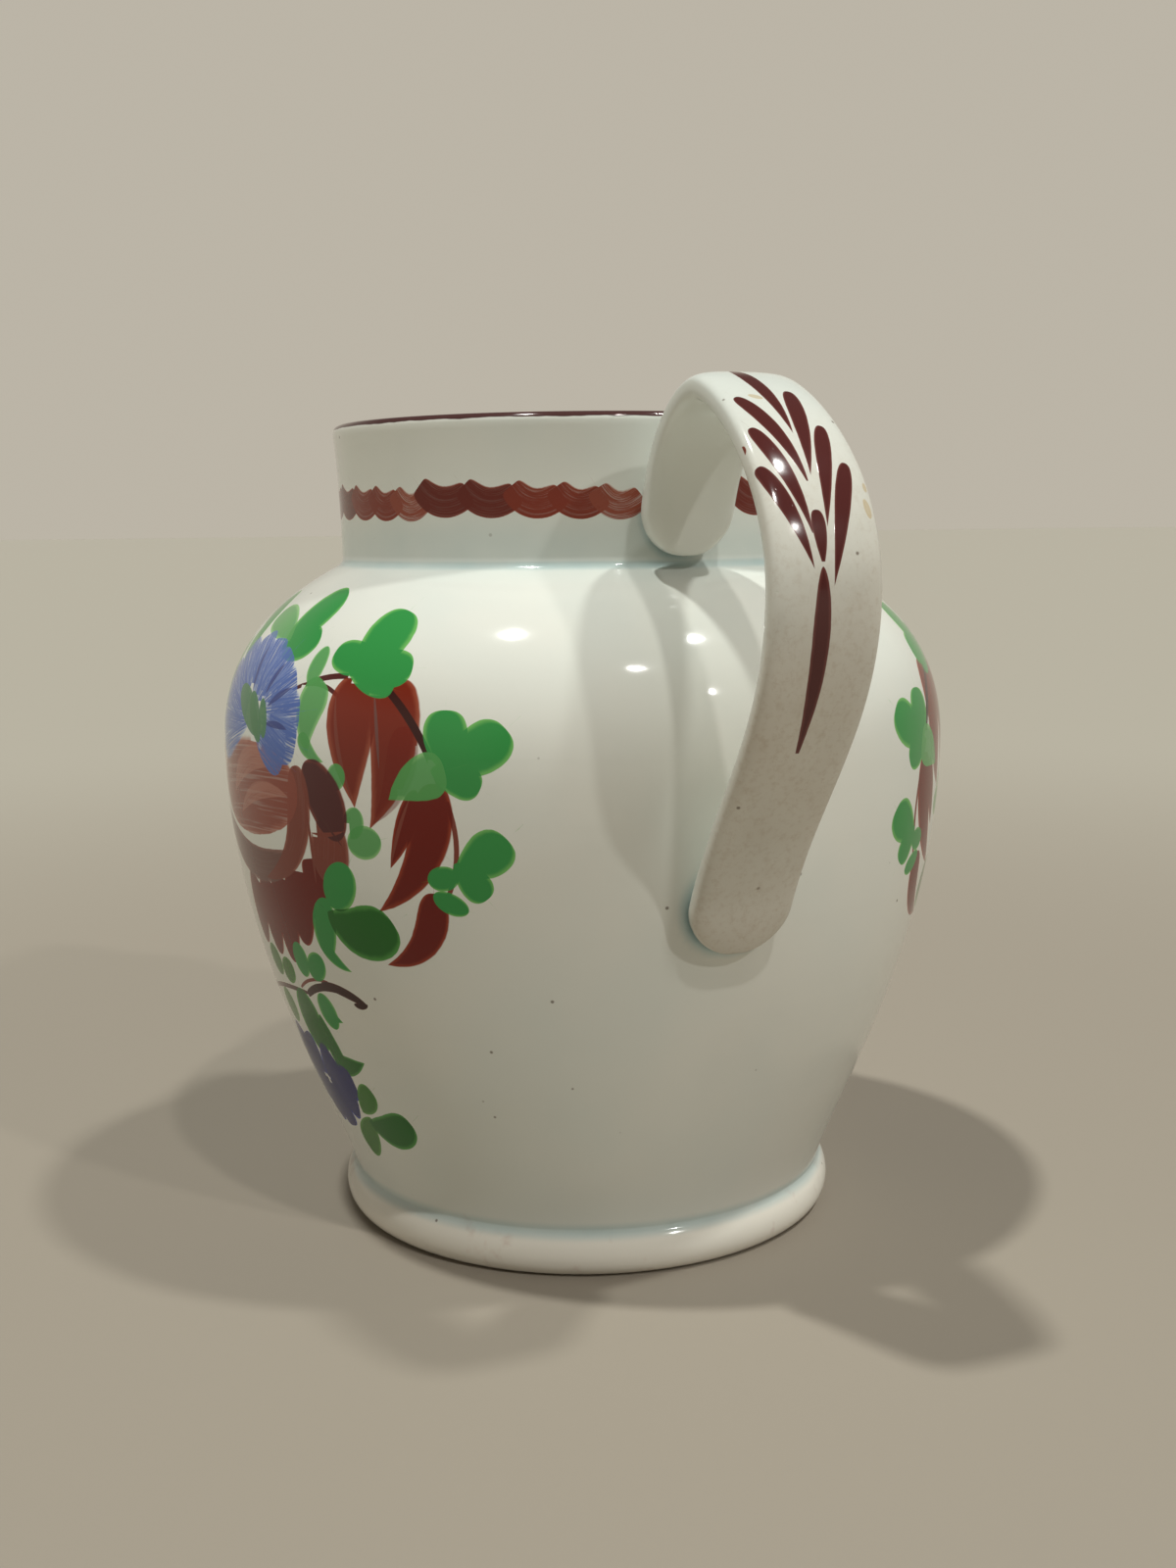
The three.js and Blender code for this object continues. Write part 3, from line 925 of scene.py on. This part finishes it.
class Flow:
    """A value in a material's nodes that takes part in ordinary sums."""

    def __init__(self, bench: Bench, socket: bpy.types.NodeSocket) -> None:
        """Wraps an output socket.

        Args:
            bench: the material that the socket belongs to.
            socket: the output socket.
        """
        self.bench = bench
        self.socket = socket

    def maths(self, operation: str, *values: Operand) -> Flow:
        """Adds a Math node on these values."""
        return self.bench.node("ShaderNodeMath", {"operation": operation}, dict(enumerate(values)))

    def __add__(self, other: Operand) -> Flow:
        """Returns the sum."""
        return self.maths("ADD", self, other)

    __radd__ = __add__

    def __sub__(self, other: Operand) -> Flow:
        """Returns the difference."""
        return self.maths("SUBTRACT", self, other)

    def __rsub__(self, other: Operand) -> Flow:
        """Returns a number less this value."""
        return self.maths("SUBTRACT", other, self)

    def __mul__(self, other: Operand) -> Flow:
        """Returns the product."""
        return self.maths("MULTIPLY", self, other)

    __rmul__ = __mul__

    def __pow__(self, other: Operand) -> Flow:
        """Returns the power."""
        return self.maths("POWER", self, other)

    def size(self) -> Flow:
        """Returns the value without its sign."""
        return self.maths("ABSOLUTE", self)

    def at_least(self, other: Operand) -> Flow:
        """Returns the larger of two values."""
        return self.maths("MAXIMUM", self, other)

    def ramp(self, low: Operand, high: Operand) -> Flow:
        """Returns 0 under the first limit, 1 over the second and a soft step between."""
        sockets = {0: self, 1: low, 2: high, 3: 0.0, 4: 1.0}
        return self.bench.node("ShaderNodeMapRange", {"interpolation_type": "SMOOTHSTEP"}, sockets)


Operand = Flow | float


class Bench:
    """The nodes of one material."""

    def __init__(self, name: str) -> None:
        """Starts an empty material.

        Args:
            name: the material's name.
        """
        self.material = bpy.data.materials.new(name)
        self.material.use_nodes = True
        self.material.node_tree.nodes.clear()

    def node(self, kind: str, settings: dict, sockets: dict, output: int | str = 0) -> Flow:
        """Adds a node.

        Args:
            kind: the node's type.
            settings: its properties, with a ramp's stops under "stops".
            sockets: values or flows for its inputs, by number or name.
            output: which output to return.

        Returns:
            The chosen output.
        """
        made = self.material.node_tree.nodes.new(kind)
        for name, value in settings.items():
            if name == "stops":
                self.fill_ramp(made.color_ramp, value)
            else:
                setattr(made, name, value)
        for name, value in sockets.items():
            if isinstance(value, Flow):
                self.material.node_tree.links.new(value.socket, made.inputs[name])
            else:
                made.inputs[name].default_value = value
        return Flow(self, made.outputs[output])

    def fill_ramp(self, ramp: bpy.types.ColorRamp, stops: list[tuple[float, tuple]]) -> None:
        """Sets a ramp's steps, each held until the next."""
        ramp.interpolation = "CONSTANT"
        for place, _ in stops[2:]:
            ramp.elements.new(place)
        for element, (place, colour) in zip(ramp.elements, stops):
            element.position = place
            element.color = colour

    def node_output(self, shader: Flow) -> None:
        """Gives the material its surface."""
        end = self.material.node_tree.nodes.new("ShaderNodeOutputMaterial")
        self.material.node_tree.links.new(shader.socket, end.inputs["Surface"])

    def attribute(self, name: str, output: str = "Fac") -> Flow:
        """Reads an attribute of the mesh."""
        return self.node("ShaderNodeAttribute", {"attribute_name": name}, {}, output)

    def noise(self, place: Flow, scale: float, detail: float = 2.0, roughness: float = 0.5) -> Flow:
        """Returns a soft noise between 0 and 1."""
        inputs = {"Vector": place, "Scale": scale, "Detail": detail, "Roughness": roughness}
        return self.node("ShaderNodeTexNoise", {}, inputs, "Fac")

    def split(self, vector: Flow) -> list[Flow]:
        """Returns a vector's three numbers."""
        parts = self.node("ShaderNodeSeparateXYZ", {}, {0: vector}).socket.node.outputs
        return [Flow(self, part) for part in parts]

    def joined(self, *parts: Operand) -> Flow:
        """Returns a vector of three numbers."""
        return self.node("ShaderNodeCombineXYZ", {}, dict(enumerate(parts)))

    def mixed(self, share: Operand, first: Flow | Colour, second: Flow | Colour) -> Flow:
        """Returns a colour between two."""
        ends = {6: first, 7: second}
        ends = {key: value if isinstance(value, Flow) else (*value, 1.0) for key, value in ends.items()}
        return self.node("ShaderNodeMix", {"data_type": "RGBA"}, {0: share, **ends}, 2)


@dataclass(frozen=True)
class PaintedGlaze:
    """Clear blueish glaze over white clay, with the painter's strokes under it."""

    clay: Colour = (0.76, 0.755, 0.69)
    cool: Colour = (0.69, 0.72, 0.67)
    foot: Colour = (0.87, 0.83, 0.74)
    rust: Colour = (0.42, 0.17, 0.10)
    # blue-green of gathered glaze, also used for the painted shade round the neck's base
    pooled_and_shade: Colour = (0.36, 0.50, 0.50)
    thick: Colour = (0.12, 0.21, 0.22)
    stain: Colour = (0.36, 0.25, 0.15)
    speck: Colour = (0.10, 0.06, 0.035)
    rim: Colour = (0.055, 0.010, 0.010)
    foot_crease_height: float = 9.9
    neck_crease_height: float = 148.1
    # middle height of the band of gathered glaze and painted shade round the neck's base
    neck_shade_and_pool_height: float = 152.0
    rim_line_height: float = 177.15
    foot_outside: Limits = (49.0, 51.0)
    roughness: float = 0.07
    edge_softness: float = 0.14
    feather: float = 7.0

    def make(self) -> bpy.types.Material:
        """Builds the material.

        Returns:
            The material of the whole jug.
        """
        bench = Bench("painted_pearl_glaze")
        place = bench.node("ShaderNodeTexCoord", {}, {}, "Object")
        colour = self.ground(bench, place)
        pigments = bench.attribute("pigments", "Vector")
        fourth = bench.attribute("pigments", "Alpha")
        wobble = (bench.noise(place, 420.0, 1.0) - 0.5) * 0.35
        covered = wobble * 0.0
        for number, pigment in enumerate(bench.split(pigments) + [fourth]):
            share, layer = self.layer(bench, number, pigment, wobble, covered)
            colour = bench.mixed(share, colour, layer)
            covered = covered.at_least(share)
        height = bench.attribute("thrown_height")
        brushed = bench.noise(place, 160.0, 2.0) * 0.7
        line = (height + brushed).ramp(self.rim_line_height, self.rim_line_height + 0.25)
        colour = bench.mixed(line * 0.97, colour, self.rim)
        bump = self.bump(bench, place, covered)
        roughness = bench.noise(place, 55.0, 3.0).ramp(0.35, 0.8) * 0.05 + self.roughness
        stained = bench.attribute("stain")
        sockets = {
            "Base Color": colour,
            "Roughness": roughness + stained * 0.08,
            "Normal": bump,
            "IOR": 1.5,
            "Specular IOR Level": 0.36,
        }
        shader = bench.node("ShaderNodeBsdfPrincipled", {}, sockets)
        bench.node_output(shader)
        return bench.material

    def ground(self, bench: Bench, place: Flow) -> Flow:
        """Returns the glaze's own colour, with its pools, specks and stain, and a band of painted shade round
        the neck's base.
        """
        cloud = bench.noise(place, 14.0, 3.0, 0.6).ramp(0.3, 0.75)
        colour = bench.mixed(cloud, self.clay, self.cool)
        height = bench.attribute("thrown_height")
        pool = bench.attribute("pool")
        radius = bench.attribute("thrown_radius")
        outside = radius.ramp(*self.foot_outside)
        roll = (1.0 - height.ramp(7.4, 9.4)) * outside
        colour = bench.mixed(roll * 0.85, colour, self.foot)
        patches = bench.noise(place, 78.0, 4.0, 0.65).ramp(0.55, 0.70) * outside
        colour = bench.mixed(patches * (1.0 - height.ramp(9.5, 13.0)) * 0.30, colour, self.rust)
        uneven = bench.noise(place, 90.0, 2.0) * 0.9 + 0.55
        neck_line = 1.0 - (height - self.neck_crease_height).size().ramp(0.2, 1.5)
        # a broad blue-grey band round the neck's base: partly glaze gathered above the crease, partly painted
        # shade
        neck_shade_and_pool = (1.0 - (height - self.neck_shade_and_pool_height).size().ramp(0.5, 9.0)) * 0.28
        foot_line = 1.0 - (height - self.foot_crease_height).size().ramp(0.2, 2.2)
        gathered = (pool.ramp(0.05, 0.8) * 0.75).at_least(neck_line * 0.6).at_least(foot_line * 0.5)
        colour = bench.mixed(gathered.at_least(neck_shade_and_pool) * uneven, colour, self.pooled_and_shade)
        colour = bench.mixed(pool.ramp(0.5, 0.95) * uneven * 0.7, colour, self.thick)
        stained = bench.attribute("stain")
        mottle = bench.noise(place, 700.0, 4.0, 0.75).ramp(0.46, 0.70)
        blot = bench.noise(place, 150.0, 3.0, 0.6).ramp(0.55, 0.75)
        wash = bench.noise(place, 45.0, 2.0, 0.5).ramp(0.25, 0.75)
        colour = bench.mixed(stained * (wash * 0.14 + mottle * 0.16 + blot * 0.12 + 0.20), colour, self.stain)
        cell = {"Vector": place, "Scale": 190.0}
        apart = bench.node("ShaderNodeTexVoronoi", {}, cell, "Distance")
        tint = bench.node("ShaderNodeTexVoronoi", {}, cell, "Color")
        chance = bench.split(tint)[0]
        speck = (1.0 - apart.ramp(0.04, 0.09)) * chance.ramp(0.78, 0.82)
        return bench.mixed(speck * 0.75, colour, self.speck)

    def layer(self, bench: Bench, number: int, pigment: Flow, wobble: Flow, under: Flow) -> tuple[Flow, Flow]:
        """Draws one layer of strokes.

        Args:
            bench: the material.
            number: which layer.
            pigment: the stroke's place on the palette, with its width as the part after the point.
            wobble: the hand's unsteadiness, in millimetres.
            under: how much is already painted, where no pale rim shows.

        Returns:
            How much of the layer covers, and its colour.
        """
        drawn = bench.attribute(f"stroke_{number}", "Vector")
        tip_power = bench.attribute(f"stroke_{number}", "Alpha")
        share, left, start_power = bench.split(drawn)
        width = (pigment * float(len(Pigment))).maths("FRACT") * WIDEST
        across = left * width
        hairs = bench.noise(bench.joined(share * 1.4, across * 1.5, pigment * 191.0), 1.0, 3.0, 0.65)
        swell = share.at_least(0.0) ** start_power * (1.0 - share).at_least(0.0) ** tip_power
        depth = (swell - left.size()) * width
        bodies = [(*finish.body, finish.cover) for finish in PALETTE.values()]
        edges = [(*finish.edge, finish.streaks) for finish in PALETTE.values()]
        stops = [index / len(Pigment) for index in range(len(Pigment))]
        ramps = []
        for colours in (bodies, edges):
            settings = {"stops": list(zip(stops, colours))}
            ramps.append(bench.node("ShaderNodeValToRGB", settings, {0: pigment}))
        body, edge = ramps
        cover, streaks = (Flow(bench, ramp.socket.node.outputs["Alpha"]) for ramp in ramps)
        feather = left.at_least(0.0) * streaks * self.feather
        inside = (depth + wobble).ramp(-0.08, feather + self.edge_softness)
        streak = (hairs - 0.5) * 2.6 * streaks
        side = left * streaks * 1.5
        loaded = (depth + wobble * 2.0).ramp(-0.3, 2.4).at_least(under) - side + streak
        colour = bench.mixed(loaded.ramp(0.0, 0.95), edge, body)
        broken = 1.0 - (streaks * 1.6 - 0.3).at_least(0.0) * (0.5 - hairs).ramp(0.0, 0.14)
        return inside * broken * cover * pigment.ramp(0.0, 0.002), colour

    def bump(self, bench: Bench, place: Flow, painted: Flow) -> Flow:
        """Returns the slight unevenness of a thrown and hand dipped surface."""
        x, y, z = bench.split(place)
        rings = bench.noise(bench.joined(x * 4.0, y * 4.0, z * 210.0), 1.0, 2.0) * 0.25
        swells = bench.noise(place, 34.0, 2.0) * 1.1
        peel = bench.noise(place, 330.0, 1.0) * 0.07
        cells = bench.node("ShaderNodeTexVoronoi", {}, {"Vector": place, "Scale": 430.0}, "Distance")
        pits = 1.0 - cells.ramp(0.0, 0.13)
        stained = bench.attribute("stain")
        depth = rings + swells + peel + painted * 0.05 - pits * stained * 0.25
        sockets = {"Height": depth, "Distance": 0.0002, "Strength": 0.7}
        return bench.node("ShaderNodeBump", {}, sockets, "Normal")


@dataclass
class Studio:
    """The pale floor, the soft lights and the camera."""

    eye: tuple[float, float, float] = (0.3710, -0.1432, 0.1559)
    lens: float = 39.59
    look_right: float = math.radians(0.163)
    look_down: float = math.radians(8.54)
    roll: float = math.radians(0.54)
    floor_size: float = 60.0
    floor_colour: Colour = (0.30, 0.26, 0.21)
    far_floor: Colour = (0.385, 0.352, 0.292)
    wall: Colour = (0.50, 0.46, 0.385)
    near_wall: Colour = (0.10, 0.086, 0.068)
    ceiling: Colour = (0.09, 0.09, 0.085)
    # each lamp's name, azimuth, elevation and spread in degrees, then its power and colour
    lamps: tuple[tuple[str, float, float, float, float, Colour], ...] = (
        ("left", -89.0, 75.0, 3.0, 1.8, (0.97, 1.0, 0.96)),
        ("over", 55.0, 66.0, 3.5, 1.1, (0.97, 1.0, 0.96)),
        ("right", 24.0, 36.0, 2.2, 0.5, (1.0, 0.99, 0.95)),
        ("front", 4.0, 56.0, 2.2, 0.65, (1.0, 0.99, 0.95)),
    )

    def build(self) -> None:
        """Sets up the floor, the lights and the camera, and shows colours as they are."""
        bpy.context.scene.view_settings.view_transform = "Standard"
        self.lay_floor()
        self.hang_lights()
        self.place_camera()

    def lay_floor(self) -> None:
        """Lays the plain floor under the jug."""
        shape = bmesh.new()
        bmesh.ops.create_grid(shape, x_segments=1, y_segments=1, size=self.floor_size / 2 / MM)
        floor = new_object("floor", shape)
        bench = Bench("plain_floor")
        x, y, _ = bench.split(bench.node("ShaderNodeTexCoord", {}, {}, "Object"))
        away = (x * x + y * y) ** 0.5
        colour = bench.mixed(away.ramp(0.2, 0.9), self.floor_colour, self.far_floor)
        shader = bench.node("ShaderNodeBsdfPrincipled", {}, {"Base Color": colour, "Roughness": 0.6})
        bench.node_output(shader)
        floor.data.materials.append(bench.material)

    def hang_lights(self) -> None:
        """Lights the jug with four soft lamps: strong ones high on the left and right, weaker ones in front."""
        for name, azimuth, elevation, spread, power, colour in self.lamps:
            light = bpy.data.lights.new(name, "SUN")
            light.energy = power
            light.angle = math.radians(spread)
            light.color = colour
            lamp = bpy.data.objects.new(name, light)
            turn, rise = math.radians(azimuth), math.radians(elevation)
            level = math.cos(rise)
            towards = Vector((math.cos(turn) * level, math.sin(turn) * level, math.sin(rise)))
            lamp.rotation_euler = towards.to_track_quat("Z", "Y").to_euler()
            bpy.context.scene.collection.objects.link(lamp)
        self.light_room()

    def light_room(self) -> None:
        """Lights the room softly: a pale wall beyond the jug, darker on the near side and overhead."""
        world = bpy.data.worlds.new("room")
        world.use_nodes = True
        nodes, links = world.node_tree.nodes, world.node_tree.links
        place = nodes.new("ShaderNodeTexCoord")
        parts = nodes.new("ShaderNodeSeparateXYZ")
        links.new(place.outputs["Generated"], parts.inputs[0])
        colour = None
        for part, first, second, limits in (
            ("X", self.wall, self.near_wall, (0.50, 0.85)),
            ("Z", None, self.ceiling, (0.30, 0.62)),
        ):
            fade = nodes.new("ShaderNodeMapRange")
            fade.interpolation_type = "SMOOTHSTEP"
            fade.inputs["From Min"].default_value, fade.inputs["From Max"].default_value = limits
            links.new(parts.outputs[part], fade.inputs["Value"])
            blend = nodes.new("ShaderNodeMix")
            blend.data_type = "RGBA"
            blend.inputs[7].default_value = (*second, 1.0)
            if colour is None:
                blend.inputs[6].default_value = (*first, 1.0)
            else:
                links.new(colour, blend.inputs[6])
            links.new(fade.outputs[0], blend.inputs[0])
            colour = blend.outputs[2]
        links.new(colour, nodes["Background"].inputs["Color"])
        bpy.context.scene.world = world

    def place_camera(self) -> None:
        """Puts the camera where the photograph was taken from."""
        camera = bpy.data.cameras.new("camera")
        camera.lens = self.lens
        camera.clip_start = 0.01
        heading = math.atan2(-self.eye[1], -self.eye[0]) - self.look_right
        level = math.cos(self.look_down)
        ahead = Vector((math.cos(heading) * level, math.sin(heading) * level, -math.sin(self.look_down)))
        turn = ahead.to_track_quat("-Z", "Y").to_matrix().to_4x4() @ Matrix.Rotation(-self.roll, 4, "Z")
        stand = bpy.data.objects.new("camera", camera)
        stand.matrix_world = Matrix.Translation(self.eye) @ turn
        bpy.context.scene.collection.objects.link(stand)
        bpy.context.scene.camera = stand


def main() -> None:
    """Builds and dresses the jug, then logs its number of faces."""
    logging.basicConfig(level=logging.INFO, format="%(name)s: %(message)s")
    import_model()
    Studio().build()
    body, strap = ThrownBody(), Strap()
    jug = FiredJug(body, strap).build()
    Decoration().paint(jug.data, body, strap)
    jug.data.materials.append(PaintedGlaze().make())
    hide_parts("jug")
    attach(jug, "root")
    LOG.info("%s: %d faces", jug.name, len(jug.data.polygons))


if __name__ == "__main__":
    main()
